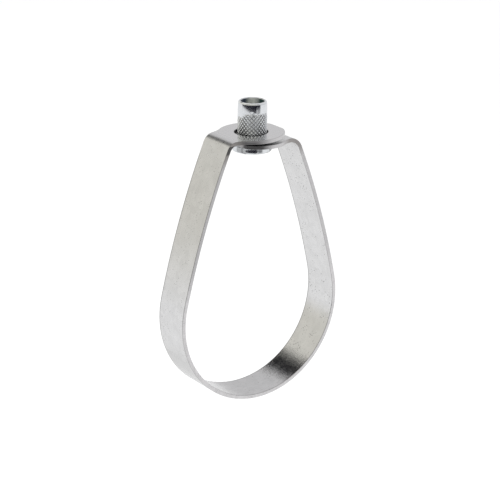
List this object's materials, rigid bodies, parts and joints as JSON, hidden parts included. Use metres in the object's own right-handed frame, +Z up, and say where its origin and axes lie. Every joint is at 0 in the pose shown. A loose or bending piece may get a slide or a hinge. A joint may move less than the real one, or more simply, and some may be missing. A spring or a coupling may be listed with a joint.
{
  "type": "swivel ring hanger",
  "caption": "Teardrop band hanger that carries a pipe from a threaded rod through a swivelling knurled nut.",
  "frame": {"origin": "centre of the pipe in the round seat of the band, midway across the band", "axes": "+Y along the pipe, +Z up along the rod, +X to the leg that ends in the lower eye"},
  "size_m": [0.0792, 0.0278, 0.1287],
  "materials": {
    "galvanised_band": "satin pre-galvanised steel with fine specks",
    "zinc_plated_nut": "bright zinc plate"
  },
  "bodies": {
    "ring": {"strap_ring": "galvanised_band"},
    "nut": {"swivel_nut": "zinc_plated_nut"}
  },
  "joints": [
    {"name": "nut_swivel", "type": "hinge", "parent": "ring", "child": "nut", "pos_m": [0, 0, 0.08], "axis": [0, 0, 1], "continuous": true}
  ]
}
